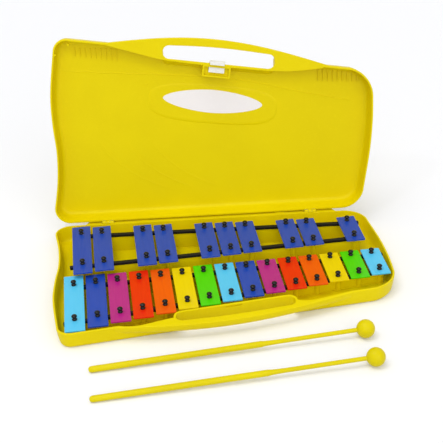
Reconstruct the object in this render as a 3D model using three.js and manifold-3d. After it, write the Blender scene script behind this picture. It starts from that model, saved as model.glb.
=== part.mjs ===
// A 25-bar glockenspiel, sold as a toy xylophone, in a hinged plastic carry case.
// Millimetres, +Z up, +X along the hinge to the right, +Y towards the hinge.
// The origin is on the surface that the case stands on, at the middle of its flat bottom.
import * as THREE from 'three';
import { mergeVertices } from 'three/addons/utils/BufferGeometryUtils.js';
import Module from 'manifold-3d';

const wasm = await Module();
wasm.setup();

// ---- driving dimensions -------------------------------------------------------------

const GAP = 0.3; // clearance between separate pieces that meet

// the two case shells meet at the parting plane
const PARTING_Z = 22;
const CASE_HEIGHT = 44;
const RIM_GAP = 0.15; // each rim's distance from the parting plane
const RIM_WALL = 2.5;
const FLOOR = 2.4;
const BEYOND = 9; // how far a cutting solid runs past the face that it cuts

// plan of the case: a straight back and a front that runs nearer to it towards the right
const BACK_Y = 125.6;
const FRONT_Y = -99.1; // the front line's Y at X = 0
const FRONT_SLOPE = 0.156;
const CORNERS = {
  frontLeft: { x: -180, y: -110, radius: 17, from: 192, to: 279 },
  frontRight: { x: 173, y: -29.5, radius: 42, from: -72, to: 0 },
  backRight: { x: 173, y: 94.6, radius: 31, from: 15, to: 90 },
  backLeft: { x: -196, y: 105.6, radius: 20, from: 90, to: 190 },
};
const RIGHT_SIDE = [[214.9, 2], [211.9, 42], [206.6, 79]];
const LEFT_SIDE = [[-208.6, 64], [-205.7, 24], [-207.3, -14], [-205.9, -56]];
const ARC_STEPS = 7;
const SIDE_STEPS = 12;

// the handle is a bulge of the front line with a finger slot in it
const HANDLE = { left: -130, right: 155, reach: 19, steps: 26, thickness: 12, root: 10 };
const SLOT = { left: -57, right: 86, end: 8, endSteps: 4 };
const SLOT_INNER = { y: -86.9, slope: 0.158 };
const SLOT_OUTER = { y: -104.4, slope: 0.145, bow: 3, steps: 6 };
const COLLAR = 3; // wall round the finger slot
const SCOOP = 11; // how far the lid's slot widens towards the hinge at its outer face

// hinge: one steel pin through three knuckles at each end of the back edge
const HINGE = { y: 127.6, z: PARTING_Z, knuckle: 2.8, bore: 1.3, pin: 1.0, width: 4.8, step: 5.2 };
const HINGE_X = [-146, 130];
const BORE_REACH = 9; // each bore runs this far to both sides
const WEB = { reach: 1.6, depth: 1.5, near: 1.2, far: 6 }; // joins a knuckle to its wall
const KNUCKLE_ROOM = { round: 0.5, side: 0.2 };
const OPEN_ANGLE = THREE.MathUtils.degToRad(97);
const FLANGE = { left: -172, right: 160, back: 131.8, low: 19.8 }; // shelf behind the base's rim

// lugs behind the base that the open lid leans on
const STOP_X = [-96, 88];
const STOP = { halfWidth: 6, back: 134, low: 13, high: 21.6, lipFront: 128.6, lipTop: 22.9 };

// bars: length falls by half every two octaves
const BAR = { width: 24, thickness: 2, longest: 119.5, hole: 2.6, lean: 4.8 };
const NATURALS = ['g5', 'a5', 'b5', 'c6', 'd6', 'e6', 'f6', 'g6', 'a6', 'b6', 'c7', 'd7', 'e7', 'f7', 'g7'];
const NATURAL_SEMITONES = [0, 2, 4, 5, 7, 9, 10, 12, 14, 16, 17, 19, 21, 22, 24];
const SHARPS = [
  ['g_sharp_5', 0], ['a_sharp_5', 1], ['c_sharp_6', 3], ['d_sharp_6', 4], ['f_sharp_6', 6],
  ['g_sharp_6', 7], ['a_sharp_6', 8], ['c_sharp_7', 10], ['d_sharp_7', 11], ['f_sharp_7', 13],
];
const LOWER_ROW = { x: -179.2, y: -61.2, dx: 26.77, dy: 3.85, top: 21.5 };
const UPPER_ROW = { x: -175.9, y: 48.5, dx: 27.0, dy: 1.115, top: 30.1 };

// each row lies on two straight cushion strips; a strip runs y = at + slope * x
const STRIP = { width: 5.4, height: 4.2, overhang: 14 };
const LOWER_STRIPS = { back: { at: -5.7, slope: 0.0944 }, front: { at: -64.2, slope: 0.1905 } };
const UPPER_STRIPS = { back: { at: 85.5, slope: -0.013 }, front: { at: 27.7, slope: 0.0894 } };
const PIN = { neck: 1.6, collar: 3.1, waist: 1.9, head: 3.4, crown: 2.5, root: 1, sides: 8 };
const PIN_LEVELS = { waist: 2.4, head: 4.4, crown: 6.2, top: 6.9 }; // above the bar's face
const RIB = { width: 6, setback: 4 };

// latch: a slider in the lid whose hook drops into the base's finger slot
// across and along are measured from the middle of the slot's inner edge
const LATCH = { x: 12, low: 23.6, high: 26.2, front: -3, legBack: -0.5 };
const LATCH_PLATE = { halfWidth: 10.2, back: 12.5 };
const HOOK = { halfWidth: 9.4, back: 1.4, low: 18.4, high: 20 };
const NOTCH = { halfWidth: 10, back: 1.8, below: 0.4, above: 0.5 };
const GUIDE = { inner: 16, outer: 18.2, front: 3, back: 18.4, wall: 2, low: PARTING_Z + 0.4 };
const LEDGE = { inner: 8.6, height: 1.7 };
const MOUTH = { front: -2, back: 7 };

// the bare label plate on the inside of the lid
const LABEL = { x: 4.3, y: -29.7, halfLength: 66, halfHeight: 15.8, turn: 7.8, thickness: 0.7, steps: 36 };

// mallets, lying in front of the case
const MALLET = { butt: 3.8, handle: 3.7, neck: 2.6, head: 11, handleShare: 0.62, sides: 12 };
const MALLET_BUTT = [[0, 0], [2.2, 0.5], [3.4, 2], [MALLET.butt, 4.5]];
const MALLET_TAPER = 12;
const MALLET_SOCKET = 1; // the shaft ends this far short of the ball's middle
const MALLETS = [
  { name: 'mallet_1', from: [-157.5, -172.0], to: [161.7, -135.4] },
  { name: 'mallet_2', from: [-153.4, -224.2], to: [164.0, -189.5] },
];

// ---- materials ----------------------------------------------------------------------

function finish(colour, roughness, metalness = 0) {
  return new THREE.MeshStandardMaterial({ color: colour, roughness, metalness });
}

const CASE_YELLOW = finish(0xe0cc00, 0.45);
const STEEL = finish(0xb8b8b8, 0.3, 1);
const RUBBER_BLACK = finish(0x0c0c0c, 0.4);
const WHITE = finish(0xf4f4f2, 0.4);
const MALLET_YELLOW = finish(0xe6d400, 0.4);
const SHARP_BLUE = 0x3e56a8;
const NOTE_COLOURS = {
  g: 0x59c9ef, a: 0x264898, b: 0xb82e83, c: 0xdc2f05, d: 0xf16506, e: 0xeed202, f: 0x4dc900,
};

// ---- solids -------------------------------------------------------------------------

function solid(geometry) {
  const bare = geometry.index ? geometry.clone() : mergeVertices(geometry);
  bare.deleteAttribute('normal');
  bare.deleteAttribute('uv');
  const merged = mergeVertices(bare, 1e-4);
  return new wasm.Manifold(new wasm.Mesh({
    numProp: 3,
    vertProperties: Float32Array.from(merged.attributes.position.array),
    triVerts: Uint32Array.from(merged.index.array),
  }));
}

function geometryOf(manifold) {
  const mesh = manifold.getMesh();
  const geometry = new THREE.BufferGeometry();
  geometry.setAttribute('position', new THREE.BufferAttribute(mesh.vertProperties, 3));
  geometry.setIndex(new THREE.BufferAttribute(mesh.triVerts, 1));
  geometry.computeVertexNormals();
  return geometry;
}

function piece(name, shape, material) {
  const geometry = shape.isBufferGeometry ? shape : geometryOf(shape);
  const mesh = new THREE.Mesh(geometry, material);
  mesh.name = name;
  return mesh;
}

// closed solid through rings of equal point count, from the lowest ring up
function loft(rings) {
  const count = rings[0].loop.length;
  const positions = rings.flatMap(({ z, loop }) => loop.flatMap((p) => [p.x, p.y, z]));
  const index = [];
  for (let level = 0; level + 1 < rings.length; level += 1) {
    for (let i = 0; i < count; i += 1) {
      const a = level * count + i;
      const b = level * count + ((i + 1) % count);
      index.push(a, b, b + count, a, b + count, a + count);
    }
  }
  const last = (rings.length - 1) * count;
  for (const [a, b, c] of THREE.ShapeUtils.triangulateShape(rings[0].loop, [])) index.push(a, c, b);
  for (const [a, b, c] of THREE.ShapeUtils.triangulateShape(rings.at(-1).loop, [])) {
    index.push(last + a, last + b, last + c);
  }
  const geometry = new THREE.BufferGeometry();
  geometry.setAttribute('position', new THREE.Float32BufferAttribute(positions, 3));
  geometry.setIndex(index);
  return solid(geometry);
}

function prism(loop, low, high) {
  return loft([{ z: low, loop }, { z: high, loop }]);
}

// a box from its limits, in a frame turned about Z and placed at x, y
function box([x0, x1], [y0, y1], [z0, z1], place = { x: 0, y: 0, turn: 0 }) {
  const geometry = new THREE.BoxGeometry(x1 - x0, y1 - y0, z1 - z0);
  geometry.translate((x0 + x1) / 2, (y0 + y1) / 2, (z0 + z1) / 2);
  geometry.rotateZ(place.turn);
  geometry.translate(place.x, place.y, 0);
  return solid(geometry);
}

function rodAlongX(radius, from, to, y, z, sides) {
  const geometry = new THREE.CylinderGeometry(radius, radius, to - from, sides);
  geometry.rotateZ(Math.PI / 2);
  geometry.translate((from + to) / 2, y, z);
  return solid(geometry);
}

// ---- outlines -----------------------------------------------------------------------

function arc({ x, y, radius, from, to }, steps = ARC_STEPS) {
  return Array.from({ length: steps + 1 }, (_, i) => {
    const angle = THREE.MathUtils.degToRad(from + ((to - from) * i) / steps);
    return new THREE.Vector2(x + radius * Math.cos(angle), y + radius * Math.sin(angle));
  });
}

// a smooth side between two corners, without its end points
function side(start, through, end) {
  const points = [start, ...through.map(([x, y]) => new THREE.Vector2(x, y)), end];
  return new THREE.SplineCurve(points).getPoints(SIDE_STEPS).slice(1, -1);
}

function frontLine(x) {
  return FRONT_Y + FRONT_SLOPE * x;
}

function bulge(x) {
  return HANDLE.reach * Math.sin((Math.PI * (x - HANDLE.left)) / (HANDLE.right - HANDLE.left));
}

// moves every point of an anticlockwise loop inwards
function inset(loop, distance) {
  return loop.map((point, i) => {
    const before = loop[(i + loop.length - 1) % loop.length];
    const after = loop[(i + 1) % loop.length];
    const inA = new THREE.Vector2(before.y - point.y, point.x - before.x).normalize();
    const inB = new THREE.Vector2(point.y - after.y, after.x - point.x).normalize();
    const reach = distance / (1 + inA.dot(inB));
    return new THREE.Vector2(point.x + (inA.x + inB.x) * reach, point.y + (inA.y + inB.y) * reach);
  });
}

// the case without its handle, anticlockwise from the front left corner
function caseOutline() {
  const frontLeft = arc(CORNERS.frontLeft);
  const frontRight = arc(CORNERS.frontRight);
  const backRight = arc(CORNERS.backRight);
  const backLeft = arc(CORNERS.backLeft);
  const right = side(frontRight.at(-1), RIGHT_SIDE, backRight[0]);
  const left = side(backLeft.at(-1), LEFT_SIDE, frontLeft[0]);
  return [...frontLeft, ...frontRight, ...right, ...backRight, ...backLeft, ...left];
}

// the handle's outline, closed by a line inside the case
function handleOutline(shrink) {
  const rim = Array.from({ length: HANDLE.steps + 1 }, (_, i) => {
    const x = HANDLE.left + ((HANDLE.right - HANDLE.left) * i) / HANDLE.steps;
    return new THREE.Vector2(x, frontLine(x) - bulge(x) + shrink);
  });
  return [
    ...rim,
    new THREE.Vector2(HANDLE.right, frontLine(HANDLE.right) + HANDLE.root),
    new THREE.Vector2(HANDLE.left, frontLine(HANDLE.left) + HANDLE.root),
  ];
}

function slotInner(x) {
  return SLOT_INNER.y + SLOT_INNER.slope * x;
}

function slotOuter(x) {
  const along = (x - SLOT.left) / (SLOT.right - SLOT.left);
  return SLOT_OUTER.y + SLOT_OUTER.slope * x - SLOT_OUTER.bow * Math.sin(Math.PI * along);
}

// the finger slot, with its inner edge moved towards the hinge by `widening`
function slotOutline(widening = 0) {
  const r = SLOT.end;
  const [x0, x1] = [SLOT.left + r, SLOT.right - r];
  const outer = Array.from({ length: SLOT_OUTER.steps + 1 }, (_, i) => {
    const x = x0 + r / 2 + ((x1 - x0 - r) * i) / SLOT_OUTER.steps;
    return new THREE.Vector2(x, slotOuter(x));
  });
  const corner = (x, y, from, to) => arc({ x, y, radius: r, from, to }, SLOT.endSteps);
  return [
    ...corner(x0, slotOuter(x0) + r, 180, 270),
    ...outer,
    ...corner(x1, slotOuter(x1) + r, 285, 360),
    ...corner(x1, slotInner(x1) - r + widening, 5, 98),
    ...corner(x0, slotInner(x0) - r + widening, 98, 175),
  ];
}

// ---- case shells --------------------------------------------------------------------

// both shells are made open side up, standing on z = 0, with the rim at `rim`
function shell(rim, mirror) {
  const outline = caseOutline();
  const level = (z, loop) => ({ z: mirror ? CASE_HEIGHT - z : z, loop });
  const build = (rings) => loft(mirror ? rings.reverse() : rings);
  const body = build([
    level(0, inset(outline, 5.5)), level(1.6, inset(outline, 3.6)),
    level(4.5, inset(outline, 2.6)), level(rim, outline),
  ]);
  const grip = build([
    level(rim - HANDLE.thickness, handleOutline(4)), level(rim - 9.5, handleOutline(1.6)),
    level(rim - 5, handleOutline(0.3)), level(rim, handleOutline(0)),
  ]);
  const cavity = build([
    level(FLOOR, inset(outline, 7.5)), level(4.5, inset(outline, 5.3)),
    level(rim, inset(outline, RIM_WALL)), level(rim + BEYOND, inset(outline, RIM_WALL)),
  ]);
  const scoop = mirror ? SCOOP : 0;
  const [deep, shallow] = [slotOutline(scoop), slotOutline()];
  const collar = build([
    level(0, inset(deep, -COLLAR)), level(rim, inset(shallow, -COLLAR)),
    level(rim + BEYOND, inset(shallow, -COLLAR)),
  ]);
  const slot = build([
    level(-BEYOND, deep), level(0, deep), level(rim, shallow), level(rim + BEYOND, shallow),
  ]);
  return { walls: body.add(grip), cavity, collar, slot };
}

function knuckle(x, wallSide) {
  const { z } = HINGE;
  const web = wallSide === 'base' ? [z - WEB.far, z - WEB.near] : [z + WEB.near, z + WEB.far];
  const width = [x - HINGE.width / 2, x + HINGE.width / 2];
  const barrel = rodAlongX(HINGE.knuckle, ...width, HINGE.y, z, 14);
  return barrel.add(box(width, [BACK_Y - WEB.depth, HINGE.y + WEB.reach], web));
}

// clears the space that the other shell's knuckle turns in
function knuckleRoom(x, wallSide) {
  const half = HINGE.width / 2 + KNUCKLE_ROOM.side;
  const width = [x - half, x + half];
  const room = rodAlongX(HINGE.knuckle + KNUCKLE_ROOM.round, ...width, HINGE.y, HINGE.z, 14);
  if (wallSide === 'lid') return room;
  return room.add(box(width, [HINGE.y, STOP.back], [STOP.low, HINGE.z + 1]));
}

function addKnuckles(shellSolid, wallSide) {
  let result = shellSolid;
  for (const x of HINGE_X) {
    const outer = [x - HINGE.step, x + HINGE.step];
    const own = wallSide === 'base' ? outer : [x];
    const other = wallSide === 'base' ? [x] : outer;
    for (const at of other) result = result.subtract(knuckleRoom(at, wallSide));
    for (const at of own) result = result.add(knuckle(at, wallSide));
    result = result.subtract(rodAlongX(HINGE.bore, x - BORE_REACH, x + BORE_REACH, HINGE.y, HINGE.z, 12));
  }
  return result;
}

function rib(strip, row, underside) {
  const ends = rowEnds(row);
  const length = ends.right - ends.left;
  const mid = (ends.left + ends.right) / 2;
  const place = { x: mid, y: strip.at + strip.slope * mid, turn: Math.atan(strip.slope) };
  const half = length / 2 + STRIP.overhang - RIB.setback;
  const top = underside - STRIP.height - 2 * GAP;
  return box([-half, half], [-RIB.width / 2, RIB.width / 2], [FLOOR - 1, top], place);
}

const LATCH_PLACE = { x: LATCH.x, y: slotInner(LATCH.x), turn: Math.atan(SLOT_INNER.slope) };

function caseBase() {
  const { walls, cavity, collar, slot } = shell(PARTING_Z - RIM_GAP, false);
  let base = walls.subtract(cavity.subtract(collar)).subtract(slot);
  for (const [strips, row] of [[LOWER_STRIPS, LOWER_ROW], [UPPER_STRIPS, UPPER_ROW]]) {
    const underside = row.top - BAR.thickness;
    for (const strip of [strips.back, strips.front]) base = base.add(rib(strip, row, underside));
  }
  // the notch that the latch hook catches in
  const catchLevels = [HOOK.low - NOTCH.below, HOOK.high + NOTCH.above];
  base = base.subtract(box([-NOTCH.halfWidth, NOTCH.halfWidth], [-1, NOTCH.back], catchLevels, LATCH_PLACE));
  const flangeLevels = [FLANGE.low, PARTING_Z - RIM_GAP];
  base = base.add(box([FLANGE.left, FLANGE.right], [BACK_Y - 1, FLANGE.back], flangeLevels));
  for (const x of STOP_X) {
    const width = [x - STOP.halfWidth, x + STOP.halfWidth];
    base = base.add(box(width, [BACK_Y - 2, STOP.back], [STOP.low, STOP.high]));
    base = base.add(box(width, [STOP.lipFront, STOP.back], [STOP.high - 1, STOP.lipTop]));
  }
  return addKnuckles(base, 'base');
}

function caseLid() {
  const { walls, cavity, collar, slot } = shell(PARTING_Z - RIM_GAP, true);
  let lid = walls.subtract(cavity.subtract(collar));
  const wallLevels = [GUIDE.low, CASE_HEIGHT - FLOOR + 1];
  const ledgeLevels = [LATCH.high + GAP, LATCH.high + GAP + LEDGE.height];
  for (const sideSign of [-1, 1]) {
    const wall = [sideSign * GUIDE.inner, sideSign * GUIDE.outer].sort((a, b) => a - b);
    const ledge = [sideSign * LEDGE.inner, sideSign * (GUIDE.inner + GAP)].sort((a, b) => a - b);
    lid = lid.add(box(wall, [GUIDE.front, GUIDE.back], wallLevels, LATCH_PLACE));
    lid = lid.add(box(ledge, [GUIDE.front, GUIDE.back], ledgeLevels, LATCH_PLACE));
  }
  const end = [GUIDE.back - GUIDE.wall, GUIDE.back];
  lid = lid.add(box([-GUIDE.outer, GUIDE.outer], end, wallLevels, LATCH_PLACE));
  const half = LATCH_PLATE.halfWidth + GAP;
  const mouth = [LATCH.low - GAP, LATCH.high + GAP];
  lid = lid.subtract(box([-half, half], [MOUTH.front, MOUTH.back], mouth, LATCH_PLACE));
  return addKnuckles(lid.subtract(slot), 'lid');
}

function latchSlider() {
  const { halfWidth, back } = LATCH_PLATE;
  const hookWidth = [-HOOK.halfWidth, HOOK.halfWidth];
  const plate = box([-halfWidth, halfWidth], [LATCH.front, back], [LATCH.low, LATCH.high], LATCH_PLACE);
  const leg = box(hookWidth, [LATCH.front, LATCH.legBack], [HOOK.low, LATCH.high], LATCH_PLACE);
  const hook = box(hookWidth, [LATCH.front, HOOK.back], [HOOK.low, HOOK.high], LATCH_PLACE);
  return plate.add(leg).add(hook);
}

function labelPlate() {
  const turn = THREE.MathUtils.degToRad(LABEL.turn);
  const loop = Array.from({ length: LABEL.steps }, (_, i) => {
    const angle = (2 * Math.PI * i) / LABEL.steps;
    const point = new THREE.Vector2(LABEL.halfLength * Math.cos(angle), LABEL.halfHeight * Math.sin(angle));
    return point.rotateAround(new THREE.Vector2(), turn).add(new THREE.Vector2(LABEL.x, LABEL.y));
  });
  const top = CASE_HEIGHT - FLOOR - GAP;
  return prism(loop, top - LABEL.thickness, top);
}

// ---- bars and strips ----------------------------------------------------------------

const LEAN = THREE.MathUtils.degToRad(BAR.lean);

function barCentre(row, slot) {
  return new THREE.Vector2(row.x + row.dx * slot, row.y + row.dy * slot);
}

function barLength(semitone) {
  return BAR.longest * 2 ** (-semitone / 24);
}

function rowEnds(row) {
  return { left: row.x, right: row.x + 14 * row.dx - (row === UPPER_ROW ? row.dx : 0) };
}

// where a bar's long axis crosses a strip
function pinPoint(row, slot, strip) {
  const centre = barCentre(row, slot);
  const alongX = -Math.sin(LEAN);
  const alongY = Math.cos(LEAN);
  const distance = (strip.at + strip.slope * centre.x - centre.y) / (alongY - strip.slope * alongX);
  return new THREE.Vector2(centre.x + distance * alongX, centre.y + distance * alongY);
}

function bar(row, strips, slot, semitone) {
  const half = barLength(semitone) / 2;
  const centre = barCentre(row, slot);
  const place = { x: centre.x, y: centre.y, turn: LEAN };
  const low = row.top - BAR.thickness;
  let plate = box([-BAR.width / 2, BAR.width / 2], [-half, half], [low, row.top], place);
  for (const strip of [strips.back, strips.front]) {
    const at = pinPoint(row, slot, strip);
    const hole = new THREE.CylinderGeometry(BAR.hole, BAR.hole, 10, 8);
    hole.rotateX(Math.PI / 2);
    hole.translate(at.x, at.y, row.top);
    plate = plate.subtract(solid(hole));
  }
  return plate;
}

// a cushion strip with the pins that stand on it, one for each bar of the row
function rail(row, strip, slots) {
  const ends = rowEnds(row);
  const mid = (ends.left + ends.right) / 2;
  const half = (ends.right - ends.left) / 2 + STRIP.overhang;
  const stripTop = row.top - BAR.thickness - GAP;
  const place = { x: mid, y: strip.at + strip.slope * mid, turn: Math.atan(strip.slope) };
  const stripLevels = [stripTop - STRIP.height, stripTop];
  let result = box([-half, half], [-STRIP.width / 2, STRIP.width / 2], stripLevels, place);
  const face = row.top + GAP;
  const profile = [
    [0, stripTop - PIN.root], [PIN.neck, stripTop - PIN.root], [PIN.neck, face], [PIN.collar, face],
    [PIN.waist, face + PIN_LEVELS.waist], [PIN.head, face + PIN_LEVELS.head],
    [PIN.crown, face + PIN_LEVELS.crown], [0, face + PIN_LEVELS.top],
  ].map(([r, z]) => new THREE.Vector2(r, z));
  for (const slot of slots) {
    const at = pinPoint(row, slot, strip);
    const pin = new THREE.LatheGeometry(profile, PIN.sides);
    pin.rotateX(Math.PI / 2);
    pin.translate(at.x, at.y, 0);
    result = result.add(solid(pin));
  }
  return result;
}

// ---- mallets ------------------------------------------------------------------------

// both pieces are turned about +Z from the butt, then laid along the mallet's own line
function layMallet(geometry, { from, to }) {
  const start = new THREE.Vector3(from[0], from[1], MALLET.butt);
  const end = new THREE.Vector3(to[0], to[1], MALLET.head);
  const direction = end.clone().sub(start).normalize();
  geometry.applyQuaternion(new THREE.Quaternion().setFromUnitVectors(new THREE.Vector3(0, 0, 1), direction));
  geometry.translate(start.x, start.y, start.z);
  return geometry;
}

function malletReach({ from, to }) {
  return Math.hypot(to[0] - from[0], to[1] - from[1], MALLET.head - MALLET.butt);
}

function turned(profile, sides) {
  const geometry = new THREE.LatheGeometry(profile.map(([r, z]) => new THREE.Vector2(r, z)), sides);
  geometry.rotateX(Math.PI / 2);
  return geometry;
}

function malletShaft(mallet) {
  const reach = malletReach(mallet);
  const step = reach * MALLET.handleShare;
  const end = reach - MALLET_SOCKET;
  const shaft = turned([
    ...MALLET_BUTT, [MALLET.handle, step], [MALLET.neck, step + MALLET_TAPER], [MALLET.neck, end], [0, end],
  ], MALLET.sides);
  return layMallet(geometryOf(solid(shaft)), mallet);
}

function malletHead(mallet) {
  const reach = malletReach(mallet);
  const ball = new THREE.SphereGeometry(MALLET.head, 18, 12);
  ball.rotateX(Math.PI / 2);
  ball.translate(0, 0, reach);
  const bore = MALLET.neck + GAP;
  const [mouth, bottom] = [reach - MALLET.head - BEYOND, reach - MALLET_SOCKET + GAP];
  const socket = turned([[0, mouth], [bore, mouth], [bore, bottom], [0, bottom]], MALLET.sides);
  return layMallet(geometryOf(solid(ball).subtract(solid(socket))), mallet);
}

// ---- assembly -----------------------------------------------------------------------

function buildLid() {
  const lid = new THREE.Group();
  const closed = new THREE.Group();
  closed.position.set(0, -HINGE.y, -HINGE.z);
  closed.add(piece('case_lid', caseLid(), CASE_YELLOW));
  closed.add(piece('latch_slider', latchSlider(), WHITE));
  closed.add(piece('label_plate', labelPlate(), WHITE));
  lid.position.set(0, HINGE.y, HINGE.z);
  lid.rotation.x = -OPEN_ANGLE;
  lid.add(closed);
  return lid;
}

function buildBars() {
  const bars = new THREE.Group();
  NATURALS.forEach((note, slot) => {
    const shape = bar(LOWER_ROW, LOWER_STRIPS, slot, NATURAL_SEMITONES[slot]);
    bars.add(piece(`bar_${note}`, shape, finish(NOTE_COLOURS[note[0]], 0.35, 0.2)));
  });
  for (const [note, slot] of SHARPS) {
    const shape = bar(UPPER_ROW, UPPER_STRIPS, slot, NATURAL_SEMITONES[slot] + 1);
    bars.add(piece(`bar_${note}`, shape, finish(SHARP_BLUE, 0.35, 0.2)));
  }
  return bars;
}

function buildRails() {
  const rails = new THREE.Group();
  const lowerSlots = NATURALS.map((_, slot) => slot);
  const upperSlots = SHARPS.map(([, slot]) => slot);
  for (const place of ['back', 'front']) {
    rails.add(piece(`lower_${place}_rail`, rail(LOWER_ROW, LOWER_STRIPS[place], lowerSlots), RUBBER_BLACK));
    rails.add(piece(`upper_${place}_rail`, rail(UPPER_ROW, UPPER_STRIPS[place], upperSlots), RUBBER_BLACK));
  }
  return rails;
}

const xylophone = new THREE.Group();
xylophone.add(piece('case_base', caseBase(), CASE_YELLOW));
xylophone.add(buildLid(), buildBars(), buildRails());
HINGE_X.forEach((x, i) => {
  const name = `hinge_pin_${['left', 'right'][i]}`;
  const half = HINGE.step + HINGE.width / 2 - 0.3;
  xylophone.add(piece(name, rodAlongX(HINGE.pin, x - half, x + half, HINGE.y, HINGE.z, 12), STEEL));
});
for (const mallet of MALLETS) {
  xylophone.add(piece(`${mallet.name}_shaft`, malletShaft(mallet), MALLET_YELLOW));
  xylophone.add(piece(`${mallet.name}_head`, malletHead(mallet), MALLET_YELLOW));
}

export default xylophone;
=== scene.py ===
"""The looks of the xylophone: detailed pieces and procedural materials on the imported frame.

Lengths are millimetres, scaled to metres where a mesh is made. The case's lid is modelled closed
and then turned open about the hinge.
"""
import math

import bmesh
import bpy
from mathutils import Matrix, Vector

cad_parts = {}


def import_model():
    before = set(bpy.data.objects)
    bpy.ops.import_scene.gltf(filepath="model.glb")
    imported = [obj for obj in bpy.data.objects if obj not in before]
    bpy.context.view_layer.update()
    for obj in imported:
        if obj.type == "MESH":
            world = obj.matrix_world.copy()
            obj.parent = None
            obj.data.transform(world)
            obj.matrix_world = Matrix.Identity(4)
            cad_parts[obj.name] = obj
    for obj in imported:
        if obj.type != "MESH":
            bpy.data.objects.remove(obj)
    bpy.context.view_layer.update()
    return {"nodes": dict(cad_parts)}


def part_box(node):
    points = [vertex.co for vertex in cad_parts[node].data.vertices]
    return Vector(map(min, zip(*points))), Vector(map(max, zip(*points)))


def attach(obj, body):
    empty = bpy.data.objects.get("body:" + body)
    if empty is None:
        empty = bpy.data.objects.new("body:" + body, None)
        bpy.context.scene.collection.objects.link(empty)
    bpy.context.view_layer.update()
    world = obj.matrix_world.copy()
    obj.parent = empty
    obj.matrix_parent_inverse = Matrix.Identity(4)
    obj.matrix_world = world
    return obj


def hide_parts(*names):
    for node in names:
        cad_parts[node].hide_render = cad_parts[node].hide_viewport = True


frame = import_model()

MM = 0.001

# ---- dimensions shared with the CAD ---------------------------------------------------

GAP = 0.3
PARTING_Z = 22.0
CASE_HEIGHT = 44.0
RIM = PARTING_Z - 0.15
RIM_WALL = 2.5
FLOOR = 2.4
BACK_Y = 125.6
FRONT_Y = -99.1
FRONT_SLOPE = 0.156
FRONT_LEFT = (-180, -110, 17, 192, 279)
FRONT_RIGHT = (173, -29.5, 42, -72, 0)
BACK_RIGHT = (173, 94.6, 31, 15, 90)
BACK_LEFT = (-196, 105.6, 20, 90, 190)
RIGHT_SIDE = [(214.9, 2), (211.9, 42), (206.6, 79)]
LEFT_SIDE = [(-208.6, 64), (-205.7, 24), (-207.3, -14), (-205.9, -56)]
GRIP_LEFT = -130.0
GRIP_RIGHT = 155.0
GRIP_REACH = 19.0
SLOT_LEFT = -57.0
SLOT_RIGHT = 86.0
SLOT_END = 8.0
COLLAR = 3.0
HINGE_Y = 127.6
HINGE_Z = PARTING_Z
HINGE_X = [-146.0, 130.0]
KNUCKLE = 2.8
BORE = 1.3
KNUCKLE_WIDTH = 4.8
KNUCKLE_STEP = 5.2
OPEN_ANGLE = math.radians(97)
STOP_X = [-96.0, 88.0]
STOP_HALF = 6.0
STOP_BACK = 134.0
BAR_WIDTH = 24.0
BAR_THICKNESS = 2.0
BAR_HOLE = 2.6
LEAN = math.radians(4.8)
STRIP_WIDTH = 5.4
STRIP_HEIGHT = 4.2
STRIP_OVERHANG = 14.0
LOWER = {"x": -179.2, "dx": 26.77, "top": 21.5, "last": 14}
UPPER = {"x": -175.9, "dx": 27.0, "top": 30.1, "last": 13}
STRIPS = {
    "lower_back_rail": (LOWER, -5.7, 0.0944),
    "lower_front_rail": (LOWER, -64.2, 0.1905),
    "upper_back_rail": (UPPER, 85.5, -0.013),
    "upper_front_rail": (UPPER, 27.7, 0.0894),
}
SLOT_INNER_AT = -86.9
SLOT_SLOPE = 0.158
SLOT_OUTER_AT = -104.4
SLOT_OUTER_SLOPE = 0.145
SLOT_BOW = 3.0
SCOOP = 11.0
LATCH_X = 12.0
LABEL = {"x": 4.3, "y": -29.7, "half_length": 66.0, "half_height": 15.8, "turn": math.radians(7.8)}
MALLETS = [
    ("mallet_1", (-157.5, -172.0), (161.7, -135.4)),
    ("mallet_2", (-153.4, -224.2), (164.0, -189.5)),
]
BUTT = 3.8
NECK = 2.6
BALL = 11.0
TAPER_START = 0.62

# ---- dimensions of the looks alone ----------------------------------------------------

# the CAD's flange ends 1.8 mm nearer the front; this one closes the gap under the open lid
FLANGE = {"left": -172.0, "right": 160.0, "back": 133.6, "low": 19.8, "flare": 5.0}
LABEL_POWER = 1.72
PAD = {"x": 4.3, "y": -25.6, "half_length": 85.0, "half_height": 26.0, "power": 3.0}
# hollows of the base at both ends of the grip, open to the tray: curved front edge, straight back edge
LEFT_POCKET = [(-130, -110), (-121, -116.6), (-105, -118.2), (-88, -114.2), (-76, -110.4), (-63, -106.6)]
LEFT_POCKET_BACK = [(-62, -98), (-126, -104)]
RIGHT_POCKET = [(89.5, -84.2), (98, -85.8), (109, -85.6), (133, -78.6), (153, -72.4)]
RIGHT_POCKET_BACK = [(150, -66), (84, -72)]
# arched edge of the land round the lid's finger slot, and the x of its points on the front wall
LAND_ARCH = [
    (-129, -116.4), (-113, -111), (-98.5, -106.4), (-76, -98.8), (-55, -93), (-10, -84.6), (41, -76.8),
    (79, -71.6), (112, -69.6), (150, -71.6),
]
LAND_X = (-128, -60, 20, 90, 149)
# stiffening ribs in the lid's two front corners
CORNER_RIBS = [
    {"x": -170.6, "step": 6.64, "y": (-111.0, -100.0), "grow": (0.5, 1.1)},
    {"x": 144.8, "step": 6.42, "y": (-66.0, -50.0), "grow": (0.9, 0.35)},
]
CORNER_RIB_COUNT = 9
CREASE = [(-190, -81.2), (-121, -74.8), (-40, -67.5), (41, -57), (107, -40), (160, -27.6), (190, -20.4)]
FLOW_MARK = [(0, 20), (22, 48), (52, 72), (92, 92)]
FLOW_MARK_X = (-150, -116, -82)
GATE = (-81.5, -56.5)
# (x, y, turn) of the small catches inside the rim
CATCHES = [(-176.5, -121.0, 0.08), (-193.6, -107.5, 1.2)]

# ---- camera and light -----------------------------------------------------------------

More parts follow.
